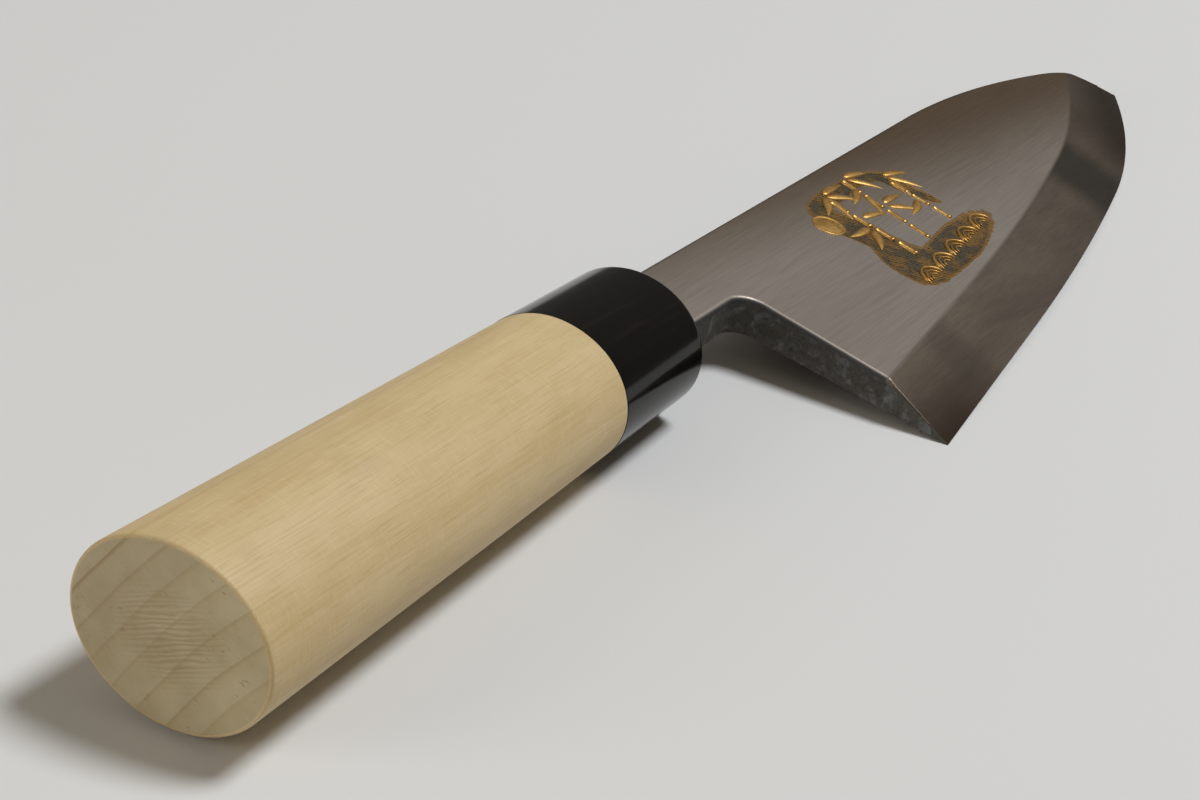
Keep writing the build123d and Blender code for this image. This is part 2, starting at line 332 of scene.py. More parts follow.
class Shell:
    """A mesh, collected as grids of points in the knife's plane that are merged where they meet."""

    def __init__(self, name):
        self.name = name
        self.points = []
        self.faces = []
        self.marks = []
        self.parts = []

    def grid(self, points, mark=0.0, part=0, close=False):
        """Four-sided faces over rows of points. The mark is kept at each point for the material."""
        points = np.asarray(points, float)
        rows, columns = points.shape[:2]
        first = len(self.points)
        self.points.extend(points.reshape(-1, 3))
        self.marks.extend(np.broadcast_to(mark, (rows, columns)).ravel())
        for row in range(rows - 1):
            for column in range(columns if close else columns - 1):
                near, far = first + row * columns, first + (row + 1) * columns
                step = (column + 1) % columns
                self.faces.append((near + column, near + step, far + step, far + column))
                self.parts.append(part)

    def patch(self, points, mark=0.0, part=0):
        """One face with many corners."""
        first = len(self.points)
        self.points.extend(np.asarray(points, float))
        self.marks.extend(np.broadcast_to(mark, len(points)))
        self.faces.append(tuple(range(first, len(self.points))))
        self.parts.append(part)

    def build(self, materials, sharp, relief=None):
        """The object in the row frame, its points merged and its faces turned outwards."""
        points = np.array(self.points)
        mesh = bpy.data.meshes.new(self.name)
        mesh.from_pydata(to_row(points), [], self.faces)
        add_attribute(mesh, "knife", points, "FLOAT_VECTOR", "vector")
        add_attribute(mesh, "mark", self.marks)
        mesh.polygons.foreach_set("material_index", self.parts)
        work = bmesh.new()
        work.from_mesh(mesh)
        bmesh.ops.remove_doubles(work, verts=work.verts, dist=0.002 * mm)
        bmesh.ops.dissolve_degenerate(work, dist=0.001 * mm, edges=work.edges)
        bmesh.ops.recalc_face_normals(work, faces=work.faces)
        if work.calc_volume(signed=True) < 0:
            bmesh.ops.reverse_faces(work, faces=work.faces)
        work.normal_update()
        if relief:
            relief(work)
        work.to_mesh(mesh)
        work.free()
        mesh.polygons.foreach_set("use_smooth", [True] * len(mesh.polygons))
        mesh.set_sharp_from_angle(angle=math.radians(sharp))
        for material in materials:
            mesh.materials.append(material)
        return add_object(self.name, mesh)


def stand_for(piece, slot, *nodes):
    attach(piece, "root")
    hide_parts(*nodes)


def corner_drop(distance, rounding):
    """How far a corner's rounding lies below the flat at a distance from the corner."""
    inside = np.clip(rounding - distance, 0, rounding)
    return rounding - np.sqrt(np.maximum(rounding**2 - inside**2, 0))


def pairs(first, second):
    return np.stack([first, second], axis=1)


def mix(start, end, share):
    """Between two points or rows of points."""
    share = np.asarray(share)[..., None]
    return np.asarray(start) * (1 - share) + np.asarray(end) * share


class Value:
    """A node's output, wrapped so that a pattern is written as a formula."""

    def __init__(self, net, socket):
        self.net = net
        self.socket = socket

    def math(self, operation, *others):
        return self.net.math(operation, self, *others)

    def __add__(self, other):
        return self.math("ADD", other)

    def __sub__(self, other):
        return self.math("SUBTRACT", other)

    def __rsub__(self, other):
        return self.net.math("SUBTRACT", other, self)

    def __mul__(self, other):
        return self.math("MULTIPLY", other)

    def __truediv__(self, other):
        return self.math("DIVIDE", other)

    __rmul__ = __mul__


class Net:
    """The nodes of a new material or world."""

    def __init__(self, name, library="materials", shader="Principled BSDF"):
        self.block = getattr(bpy.data, library).new(name)
        self.block.use_nodes = True
        self.tree = self.block.node_tree
        self.shader = self.tree.nodes[shader]

    def node(self, kind, inputs=(), output=0, **settings):
        """An output of a new node with these inputs and settings."""
        made = self.tree.nodes.new(kind)
        for name, value in settings.items():
            setattr(made, name, value)
        for name, value in dict(inputs).items():
            self.put(made.inputs[name], value)
        return Value(self, made.outputs[output])

    def put(self, socket, value):
        if isinstance(value, Value):
            self.tree.links.new(value.socket, socket)
        elif value is not None:
            socket.default_value = value

    def set(self, **inputs):
        """Inputs of the shader, with underscores for the spaces in their names."""
        for name, value in inputs.items():
            self.put(self.shader.inputs[name.replace("_", " ")], value)

    def math(self, operation, *values):
        return self.node("ShaderNodeMath", enumerate(values), operation=operation)

    def attribute(self, name, output="Vector"):
        return self.node("ShaderNodeAttribute", output=output, attribute_name=name)

    def axes(self, vector):
        parts = self.node("ShaderNodeSeparateXYZ", {0: vector}).socket.node.outputs
        return [Value(self, part) for part in parts]

    def vector(self, x, y, z):
        return self.node("ShaderNodeCombineXYZ", enumerate((x, y, z)))

    def vector_math(self, operation, vector, other, output=0):
        return self.node("ShaderNodeVectorMath", {0: vector, 1: other}, output, operation=operation)

    def noise(self, vector, size=1.0, detail=2.0, roughness=0.5, distortion=0.0):
        """Noise from 0 to 1 whose blotches are about size wide."""
        inputs = {
            "Vector": vector, "Scale": 1 / size, "Detail": detail,
            "Roughness": roughness, "Distortion": distortion,
        }
        return self.node("ShaderNodeTexNoise", inputs)

    def grain(self, place, along_scale, across_scale, detail=3.0, roughness=0.5, distortion=0.0):
        """Noise drawn out along or across the knife, by its blotches per millimetre."""
        scaled = self.vector_math("MULTIPLY", place, (along_scale, across_scale, across_scale))
        return self.noise(scaled, 1.0, detail, roughness, distortion)

    def wave(self, vector, size, distortion, detail, detail_scale):
        """Bands across x, about size wide."""
        inputs = {
            "Vector": vector, "Scale": 1 / size, "Distortion": distortion,
            "Detail": detail, "Detail Scale": detail_scale,
        }
        return self.node("ShaderNodeTexWave", inputs, "Fac")

    def cells(self, vector, size):
        """Distance from the middles of cells that are about size wide."""
        return self.node("ShaderNodeTexVoronoi", {"Vector": vector, "Scale": 1 / size}, "Distance")

    def step(self, value, low, high, start=0.0, end=1.0):
        """From start to end, smoothly, as the value goes from low to high."""
        inputs = {"Value": value, "From Min": low, "From Max": high, "To Min": start, "To Max": end}
        return self.node("ShaderNodeMapRange", inputs, interpolation_type="SMOOTHSTEP")

    def blend(self, share, first, second):
        """Between two colours."""
        return self.node("ShaderNodeMix", {0: share, 6: first, 7: second}, 2, data_type="RGBA")

    def tones(self, value, low, high, first, second):
        """From one tone to another as the value goes from low to high."""
        return self.blend(self.step(value, low, high), paint(*first), paint(*second))

    def tint(self, colour, value, low, high, share, tone):
        """A colour with up to a share of a tone as the value goes from low to high."""
        return self.blend(self.step(value, low, high, 0.0, share), colour, paint(*tone))

    def bump(self, height, depth, strength):
        """A bump whose height from 0 to 1 stands for a depth in millimetres."""
        inputs = {"Height": height, "Distance": depth * mm, "Strength": strength}
        return self.node("ShaderNodeBump", inputs)


def paint(red, green, blue):
    """A linear colour from the values that it has in a picture, 0 to 255."""
    tones = (tone / 255 for tone in (red, green, blue))
    return (*(((tone + 0.055) / 1.055) ** 2.4 if tone > 0.04 else tone / 12.92 for tone in tones), 1.0)


def ring_lines(net, x, y, z):
    """Growth rings: 1 on the dark line that ends each year, and from 0 to 1 through each year."""
    across, up = y + pith_offset[0], z + pith_offset[1]
    reach = (across * across + up * up).math("SQRT")
    drift = net.noise(net.vector(x / 70, y / 20, z / 20), 1.0, 1.5) * 1.6
    drift = drift + net.noise(reach / 7, 1.0, 1.0) * 3.0
    year = (reach + drift + x * 0.012) / ring_spacing
    part = year.math("FRACT")
    depth = net.noise(year.math("FLOOR") * 3.7, 1.0, 0.0)
    line = net.step(part, 0.80, 0.97) * net.step(part, 0.97, 1.0, 1.0, 0.0)
    return line * net.step(depth, 0.3, 0.65, 0.2, 1.0), net.step(part, 0.1, 0.95)


def wood_side():
    """Pale magnolia wood, planed and sanded along the grain."""
    net = Net("magnolia_side")
    knife = net.attribute("knife")
    line, _ = ring_lines(net, *net.axes(knife))
    fibre = net.grain(knife, 0.05, 3.4, 3.0, 0.6)
    tick = net.grain(knife, 0.13, 4.6, 2.0)
    hair = net.grain(knife, 0.09, 6.0, 2.0, 0.6)
    weave = net.grain(knife, 3.4, 0.4, 2.0)
    streak = net.grain(knife, 0.014, 0.5, 3.0, 0.55)
    cloud = net.grain(knife, 0.035, 0.085, 3.0, 0.55, 0.4)
    smudge = net.grain(knife, 0.06, 0.10, 2.0)
    colour = net.tones(cloud, 0.3, 0.7, (208, 186, 144), (198, 174, 129))
    colour = net.tint(colour, streak, 0.45, 0.75, 0.5, (194, 167, 117))
    colour = net.tint(colour, smudge, 0.62, 0.80, 0.3, (176, 156, 122))
    colour = net.blend(line * 0.42, colour, paint(181, 148, 98))
    colour = net.tint(colour, fibre, 0.48, 0.74, 0.4, (188, 156, 102))
    colour = net.tint(colour, hair, 0.52, 0.76, 0.34, (226, 205, 158))
    colour = net.tint(colour, weave, 0.48, 0.75, 0.24, (222, 203, 160))
    colour = net.tint(colour, tick, 0.56, 0.74, 0.36, (176, 142, 86))
    height = fibre * 0.6 + tick * 0.5
    net.set(Base_Color=colour, Roughness=net.step(fibre, 0.2, 0.8, 0.48, 0.6), Specular_IOR_Level=0.35)
    net.set(Normal=net.bump(height, 0.05, 0.5))
    return net.block


def wood_end():
    """The sawn butt end: growth rings, pores and the marks of the saw."""
    net = Net("magnolia_end")
    x, y, z = net.axes(net.attribute("knife"))
    line, late = ring_lines(net, x, y, z)
    flat = net.vector(y, z, 0.0)
    tear = net.noise(net.vector(y * 0.7 + z * 0.2, z * 2.6 - y * 0.5, 0.0), 1.0, 2.0, 0.5)
    grit = net.noise(flat, 0.22, 3.0, 0.6)
    cloud = net.noise(flat, 7.0, 2.0, 0.5)
    ray = net.noise(net.vector((y * 0.88 + z * 0.47) * 0.3, (z * 0.88 - y * 0.47) * 4.0, 0.0), 1.0, 2.0)
    along_saw = net.vector(y * 0.5 + z * 0.87, (y * 0.87 - z * 0.5) * 0.25, 0.0)
    saw = net.wave(along_saw, 2.4, 7.0, 3.0, 1.3)
    from_middle = (y * y * 0.6 + z * z).math("SQRT") + net.noise(flat, 3.0, 1.0) * 4.0
    sawn = saw * net.step(from_middle, 4.5, 11.0, 1.0, 0.0)
    pore = net.step(tear, 0.63, 0.74) * net.step(net.noise(flat, 5.0, 1.0), 0.45, 0.6)
    colour = net.tones(cloud, 0.3, 0.7, (197, 183, 150), (181, 167, 134))
    colour = net.tint(colour, y + z * 0.5, -4.0, 14.0, 0.4, (160, 148, 122))
    colour = net.blend(late * 0.35, colour, paint(176, 157, 117))
    colour = net.tint(colour, grit, 0.4, 0.8, 0.3, (166, 147, 108))
    colour = net.tint(colour, ray, 0.5, 0.8, 0.22, (216, 202, 168))
    colour = net.blend(line * 0.6, colour, paint(142, 114, 76))
    colour = net.blend(sawn * 0.44, colour, paint(150, 128, 92))
    colour = net.blend(pore * 0.6, colour, paint(126, 98, 62))
    height = grit * 0.4 + sawn * 0.6 - pore - line * 0.3
    net.set(Base_Color=colour, Roughness=0.7, Specular_IOR_Level=0.25)
    net.set(Normal=net.bump(height, 0.08, 0.7))
    return net.block


def horn():
    """Polished black buffalo horn."""
    net = Net("horn")
    knife = net.attribute("knife")
    streak = net.grain(knife, 0.05, 0.9, 4.0, 0.6, 0.4)
    haze = net.noise(knife, 5.0, 3.0, 0.6)
    scratch = net.grain(knife, 1.6, 0.18, 3.0, 0.6)
    net.set(Base_Color=net.tones(streak, 0.5, 0.78, (7, 6, 5), (22, 17, 12)))
    net.set(Roughness=net.step(haze, 0.3, 0.75, 0.10, 0.16), Specular_IOR_Level=0.2)
    net.set(Normal=net.bump(streak * 0.7 + scratch * 0.3, 0.02, 0.3))
    return net.block


def seal_resin():
    """Matt black resin round the neck."""
    net = Net("seal_resin")
    place = net.node("ShaderNodeTexCoord", output="Object")
    lumps = net.noise(place, 0.8 * mm, 4.0, 0.6)
    net.set(Base_Color=net.blend(lumps, paint(24, 22, 20), paint(44, 40, 35)))
    net.set(Roughness=0.7, Normal=net.bump(lumps, 0.2, 0.6))
    return net.block


def picture_axes(x, y):
    """Places in the picture, in millimetres from its middle, of arrays or of nodes' outputs."""
    middle = on_blade(picture_share)
    cos, sin = math.cos(math.radians(edge_heading)), math.sin(math.radians(edge_heading))
    right, up = x - middle[0], y - middle[1]
    return right * cos + up * sin, up * cos - right * sin


def forge_scale(net, knife):
    """Colour and height of the dark skin that the forge leaves."""
    patch = net.noise(knife, 3.0, 5.0, 0.62, 0.4)
    pit = net.noise(knife, 0.7, 4.0, 0.7)
    colour = net.tones(patch, 0.48, 0.66, (86, 83, 77), (116, 118, 118))
    return net.tint(colour, pit, 0.45, 0.7, 0.7, (52, 49, 45)), pit


def stoned_bevel(net, knife):
    """Colour of the bevel, browner towards its ends and the edge, with marks of the stones."""
    x, _, z = net.axes(knife)
    smoke = net.grain(knife, 0.02, 0.06, 3.0, 0.55, 1.0)
    stone = net.grain(knife, 0.5, 2.2, 3.0, 0.6)
    colour = net.tones(smoke, 0.3, 0.75, (114, 103, 92), (96, 87, 78))
    colour = net.tint(colour, stone, 0.45, 0.8, 0.25, (88, 78, 68))
    ends = net.step(x, 62.0, 30.0) + net.step(x, 150.0, 182.0)
    colour = net.blend(net.step(z, 1.6, -3.9) * (ends * 0.7 + 0.2), colour, paint(46, 36, 26))
    dull = net.step((x - 149.0).math("ABSOLUTE"), 16.0, 5.0)
    dull = dull + net.step((x - 48.0).math("ABSOLUTE"), 9.0, 2.0, 0.0, 0.3)
    return net.blend(dull * 0.8, colour, paint(50, 47, 44))


def blade_iron():
    """Soft iron: a satin flat, a stoned bevel, forge scale on the choil and a chased dark ground."""
    net = Net("blade_iron")
    knife = net.attribute("knife")
    x, y, z = net.axes(knife)
    bevel = net.attribute("bevel", "Fac")
    scale = net.attribute("mark", "Fac")
    inside = net.attribute("ground", "Fac") + (net.noise(knife, 1.6, 2.0, 0.5) - 0.5) * 0.35
    ground = net.step(inside, -0.05, 0.05) * net.step(scale, 0.0, 0.2, 1.0, 0.0)

    brush = net.grain(knife, 0.03, 3.0, 3.0, 0.6)
    fine = net.grain(knife, 0.15, 12.0, 2.0, 0.6)
    cloud = net.grain(knife, 0.012, 0.03, 3.0, 0.5, 0.5)
    flat = net.tones(cloud, 0.3, 0.7, (154, 146, 138), (147, 138, 130))
    flat = net.tint(flat, brush, 0.4, 0.75, 0.14, (132, 124, 116))
    # Darker and browner towards the spine and the tip: partly a stain, partly a painted reflection of
    # the dim brown room.
    flat = net.tint(flat, y + x * 0.14, -5.0, 24.0, 0.9, (94, 76, 58))
    # The flat's rounded corners are blended towards a cool dark grey: painted shade that dims their
    # highlight.
    corner = net.step(flat_level(x, y) - z, 0.02, 0.34) * (1.0 - bevel)
    flat = net.blend(corner * 0.9, flat, paint(80, 81, 84))
    steel = net.blend(bevel, flat, stoned_bevel(net, knife))
    scaly, pit = forge_scale(net, knife)

    picture = net.vector(*picture_axes(x, y), 0.0)
    across, up, _ = net.axes(picture)
    chase = net.wave(net.vector(across + up * 0.5, up, 0.0), 2.6, 5.0, 2.0, 1.4)
    speck = net.step(net.cells(picture, 0.55), 0.15, 0.5)
    cut = net.step(chase * 0.7 + speck * 0.45, 0.35, 0.85)
    warm = net.step(net.noise(picture, 5.0, 2.0, 0.5), 0.42, 0.62)
    deep = net.blend(warm, paint(38, 35, 30), paint(56, 44, 28))
    raised = net.blend(warm, paint(88, 78, 60), paint(128, 98, 54))
    rim = net.step(inside, 0.16, 0.32, 0.65, 0.0)
    dark = net.blend(rim, net.blend(cut, deep, raised), paint(134, 98, 52))

    rough = net.step(brush, 0.3, 0.7, 0.47, 0.53) + scale * 0.1 + ground * 0.05 + corner * 0.2
    height = fine * 0.10 + pit * scale * 2.4 + cut * ground * 1.6
    net.set(Base_Color=net.blend(ground, net.blend(scale, steel, scaly), dark), Roughness=rough)
    net.set(Metallic=1.0 - (scale * 0.55 + ground * 0.2), Normal=net.bump(height, 0.05, 0.5))
    return net.block


def edge_steel():
    """Hard steel of the edge and the back, ground fine, with forge scale where the choil shows it."""
    net = Net("edge_steel")
    knife = net.attribute("knife")
    x, y, _ = net.axes(knife)
    _, facing_spine, facing_up = net.axes(net.node("ShaderNodeNewGeometry", output="Normal"))
    brush = net.grain(knife, 0.04, 3.0, 3.0, 0.6)
    bright = net.tint(paint(158, 151, 144), brush, 0.4, 0.75, 0.25, (136, 129, 122))
    bright = net.tint(bright, net.attribute("hollow", "Fac"), 0.0, 0.3, 0.7, (126, 120, 114))
    colour = net.blend(net.step(facing_up, -0.2, 0.2), bright, stoned_bevel(net, knife))
    scaly, pit = forge_scale(net, knife)
    lean = (choil_top[0] - heel[0]) / (choil_top[1] - heel[1])
    start = heel[0] - heel[1] * lean
    choil = net.step(x - y * lean, start + 0.02, start + 0.06, 1.0, 0.0)
    scale = choil.math("MAXIMUM", net.step(facing_spine, 0.3, 0.6))
    net.set(Base_Color=net.blend(scale, colour, scaly), Metallic=1.0 - scale * 0.55)
    net.set(Roughness=net.step(brush, 0.3, 0.7, 0.47, 0.53) + scale * 0.1)
    net.set(Normal=net.bump(brush * 0.1 + pit * scale * 2.4, 0.05, 0.5))
    return net.block


def gold():
    """Gold, hammered in and cut with a graver."""
    net = Net("gold")
    knife = net.attribute("knife")
    tool = net.noise(knife, 0.5, 3.0, 0.6)
    wear = net.noise(knife, 2.4, 3.0, 0.6)
    colour = net.tones(wear, 0.35, 0.7, (196, 157, 94), (170, 128, 66))
    colour = net.tint(colour, tool, 0.5, 0.8, 0.45, (124, 87, 41))
    net.set(Base_Color=colour, Metallic=1.0, Roughness=net.step(tool, 0.3, 0.8, 0.40, 0.55))
    net.set(Normal=net.bump(tool, 0.05, 0.5))
    return net.block


def table_top():
    net = Net("table_top")
    place = net.node("ShaderNodeTexCoord", output="Object")
    cloud = net.noise(place, 0.35, 2.0, 0.5)
    net.set(Base_Color=net.blend(cloud, paint(214, 214, 214), paint(218, 218, 219)), Roughness=0.6)
    net.set(Specular_IOR_Level=0.2)
    return net.block


# Handle
ring_count = 192
ring_angles = np.linspace(0, 2 * math.pi, ring_count, endpoint=False)
ring_cos, ring_sin = np.cos(ring_angles), np.sin(ring_angles)


def ring(station, inset=0.0, scale=1.0):
    """An oval of the handle at a station, drawn in by an inset."""
    height, thickness = ((half - inset) * scale for half in oval(station))
    stations = np.full(ring_count, station)
    return np.stack([stations, height * ring_cos, thickness * ring_sin], axis=1)


def arc_steps(radius, count=6):
    """Depth and inset of the steps round a rounded rim, from the side to the face."""
    angles = np.linspace(0, math.pi / 2, count)
    return [(radius * (1 - math.sin(angle)), radius * (1 - math.cos(angle))) for angle in angles]


def hand_planed(work):
    """Lowers the wood a little where the plane took more of it."""
    for vert in work.verts:
        x, y, z = from_row(vert.co)
        swell = noise.noise(Vector((x / 40, y / 7, z / 7)))
        vert.co -= vert.normal * planed_depth * (1 + swell) * mm


def add_handle(side, end):
    shell = Shell("handle_body")
    stations = np.linspace(butt_rounding - handle_length, -ferrule_length - seam_rounding, 150)
    rows = [ring(-handle_length + depth, inset) for depth, inset in arc_steps(butt_rounding)][::-1]
    rows += [ring(station) for station in stations[1:]]
    rows += [ring(-ferrule_length - depth, inset) for depth, inset in arc_steps(seam_rounding, 3)[1:]]
    shell.grid(rows, close=True)
    face = [ring(-handle_length, butt_rounding, scale) for scale in np.linspace(1, 0.02, 60)]
    shell.grid(face, part=1, close=True)
    shell.patch(face[-1], part=1)
    back = [ring(-ferrule_length, seam_rounding, scale) for scale in (1, 0.6)]
    shell.grid(back, close=True)
    shell.patch(back[-1])
    stand_for(shell.build([side, end], 40, hand_planed), "magnolia", "handle_wood")


def mouth_ring(station, grow=0.0):
    """The ferrule's mouth as a ring of as many points as an oval has."""
    half_height = (spine_height + neck_drop) / 2 + mouth_gap + grow
    half_thickness = neck_thickness / 2 + mouth_gap + grow
    reach = 1 / np.maximum(np.abs(ring_cos) / half_height, np.abs(ring_sin) / half_thickness)
    middle_height = (spine_height - neck_drop) / 2
    middle_level = neck_thickness / 2 - back_depth
    stations = np.full(ring_count, station)
    heights, levels = middle_height + reach * ring_cos, middle_level + reach * ring_sin
    return np.stack([stations, heights, levels], axis=1)


def add_ferrule(material):
    shell = Shell("ferrule_cap")
    rows = [ring(station) for station in np.linspace(-ferrule_length, -ferrule_rounding, 60)]
    rows += [ring(-depth, inset) for depth, inset in arc_steps(ferrule_rounding, 14)[1:]]
    rim, mouth = rows[-1], mouth_ring(0, mouth_rounding)
    rows += [rim + (mouth - rim) * share for share in np.linspace(0, 1, 14)[1:]]
    rows.append(mouth_ring(-mouth_bend, mouth_bend))
    rows += [mouth_ring(-depth) for depth in (mouth_rounding, web_thickness)]
    shell.grid(rows, close=True)
    bore = [ring(station, ferrule_wall) for station in (-ferrule_length, -web_thickness)]
    shell.grid([rows[0], *bore, rows[-1]], close=True)
    stand_for(shell.build([material], 30), "horn", "ferrule")


# Blade: lines run over it from the edge or the choil to the spine
def points_at(points, reach, wanted):
    """The points of a line at the wanted distances along it."""
    return pairs(*(np.interp(wanted, reach, part) for part in points.T))


def spine_hit(start, way):
    """Where a ray from the edge meets the spine, and how long it is."""
    low, high = 0.0, longest_line
    for _ in range(50):
        middle = (low + high) / 2
        x, y = start + way * middle
        if x < tip[0] and y < np.interp(x, spine_points[:, 0], spine_points[:, 1]):
            low = middle
        else:
            high = middle
    return start + way * low, low


def fade(reach, length):
    share = np.clip(reach / length, 0, 1)
    return 1 - share * share * (3 - 2 * share)


def blade_lines(reaches):
    """For each place along the edge: its point, the way in from it, the ridge, middle and spine
    points of its line, and the share of the bevel's width that fits on it."""
    starts = points_at(edge_points, edge_reach, reaches)
    ways = np.radians(np.interp(reaches, edge_reach, edge_ways))
    inward = pairs(-np.sin(ways), np.cos(ways))
    first_hit, _ = spine_hit(starts[0], inward[0])
    choil = np.array(choil_top) - np.array(heel)
    first_ridge = np.array(heel) + choil * bevel_width / float(choil @ inward[0])
    ridge_shift = first_ridge - (starts[0] + inward[0] * bevel_width)
    spine_shift = steel_end[0] - first_hit[0]
    middle_shift = np.array(choil_top) - mix(first_ridge, steel_end, middle_share)
    stops, shares = [], []
    for start, way, reach in zip(starts, inward, reaches):
        hit, length = spine_hit(start, way)
        share = min(1.0, length / bevel_width)
        ridge = start + way * bevel_width * share + ridge_shift * fade(reach, ridge_fade)
        x = hit[0] + spine_shift * fade(reach, spine_fade)
        spine = np.array([x, np.interp(x, spine_points[:, 0], spine_points[:, 1])])
        if share < 1:
            ridge, spine = hit, hit
        middle = mix(ridge, spine, middle_share) + middle_shift * fade(reach, spine_fade)
        stops.append((ridge, middle, spine))
        shares.append(share)
    return starts, inward, *np.array(stops).transpose(1, 0, 2), np.array(shares)


def distance_to(points, line):
    """Distance of points from a line of many points."""
    start, end = line[:-1], line[1:]
    reach = end - start
    best = np.full(points.shape[:-1], 1e9)
    for first, step in zip(start, reach):
        offset = points - first
        share = np.clip(offset @ step / (step @ step), 0, 1)
        best = np.minimum(best, np.linalg.norm(offset - share[..., None] * step, axis=-1))
    return best


neck_arc = [along(neck_low, 0, choil_top, share)[0] for share in np.linspace(0, 1, 13)]
choil_line = np.array([(-neck_inside, -neck_drop), *neck_arc, heel])
corner_steps = np.array([0.0, 0.06, 0.15, 0.28, 0.45, 0.65, 0.9])


def graded(length):
    """Shares of a length, evenly spaced, with close steps at its rounded ends."""
    end = length - corner_steps[::-1]
    count = round((end[0] - corner_steps[-1]) / line_spacing)
    between = np.linspace(corner_steps[-1], end[0], count + 1)[1:-1]
    return np.concatenate([corner_steps, between, end]) / length


ground_blots = [
    # place as shares of the picture, half sizes in millimetres, lean in degrees
    ((0.02, -0.36), (21.0, 4.6), 0),
    ((-0.36, -0.20), (6.5, 6.0), 20),
    ((-0.30, 0.16), (5.0, 8.5), 12),
    ((-0.10, 0.40), (8.0, 2.2), -8),
    ((0.20, 0.36), (9.0, 1.7), -14),
    ((0.36, 0.10), (2.2, 7.0), 10),
]


def ground_depth_share(points):
    """How far inside the picture's ground a place is: 0 on its border, from blots beside each other."""
    across, up = picture_axes(points[..., 0], points[..., 1])
    fall = 1.6
    total = np.zeros(across.shape)
    for (x, y), (wide, high), lean in ground_blots:
        cos, sin = math.cos(math.radians(lean)), math.sin(math.radians(lean))
        right, above = across - x * picture_width, up - y * picture_height
        near = ((right * cos + above * sin) / wide) ** 2 + ((above * cos - right * sin) / high) ** 2
        total += np.exp(-fall * near)
    return (total - math.exp(-fall)) * 2.5


def corner_distance(points):
    """Distance of places from the choil, the neck's lower side and the spine."""
    return np.minimum(distance_to(points, choil_line), distance_to(points, spine_points[::12]))


def steel_rim_distance(points):
    """How far inside the flat rim of the steel's back a place is."""
    outline = np.minimum(corner_distance(points), distance_to(points, edge_points[::8]))
    return np.minimum(outline, distance_to(points, np.array([choil_top, steel_end]))) - hollow_rim


def bevel_levels(starts, inward):
    """Level of the edge, how far the bevel rises from it, and the share where it meets the weld."""
    land = arch_level(starts[..., 0]) + edge_land
    full = starts + inward * bevel_width
    rise = flat_level(full[..., 0], full[..., 1]) - land
    return land, rise, (arch_level(starts[..., 0], steel_thickness) - land) / rise


def iron_end_reach():
    """How far along the edge the iron reaches: past that the bevel is all edge steel."""
    low, high = edge_reach[-1] * 0.8, edge_reach[-1]
    for _ in range(30):
        reach = (low + high) / 2
        starts, inward, *_, shares = blade_lines(np.array([0.0, reach]))
        if shares[1] > bevel_levels(starts[1], inward[1])[2]:
            low = reach
        else:
            high = reach
    return low


def blade_plan(stops, climbs, low_shares, high_shares):
    """Places on the lines over the blade, as shares of the way from each stop to the next."""
    edge, ridge, middle, spine = (stop[:, None] for stop in stops)
    low, high = mix(ridge, middle, low_shares), mix(middle, spine, high_shares)
    return np.concatenate([mix(edge, ridge, climbs), low[:, 1:], high[:, 1:]], axis=1)


def neck_plan(joint_line):
    """Rows of places on the neck, from inside the mouth to the line where the steel begins."""
    low_line = np.array([(-neck_inside, -neck_drop), *neck_arc])
    reach = running_length(low_line)
    lows = points_at(low_line, reach, np.linspace(0, reach[-1], 62))
    highs = np.linspace((-neck_inside, spine_height), steel_end, 62)
    offsets = np.linalg.norm(joint_line - joint_line[0], axis=1)
    shares = offsets / offsets[-1]
    return np.stack([mix(low, high, shares) for low, high in zip(lows, highs)])


def forged(work):
    """Pits and waves of the forge scale, cut inwards."""
    mark = work.verts.layers.float["mark"]
    for vert in work.verts:
        amount = vert[mark]
        if amount > 0.01:
            place = Vector(from_row(vert.co))
            if place.x + steel_step / 3 > choil_top[0]:
                above_weld = place.z - arch_level(place.x, steel_thickness)
                amount *= min(1, max(0, above_weld) / 0.8)
            wave = noise.fractal(place / 2.2, 0.9, 2.0, 4)
            vert.co -= vert.normal * scale_relief * amount * (0.5 + 0.5 * wave) * mm


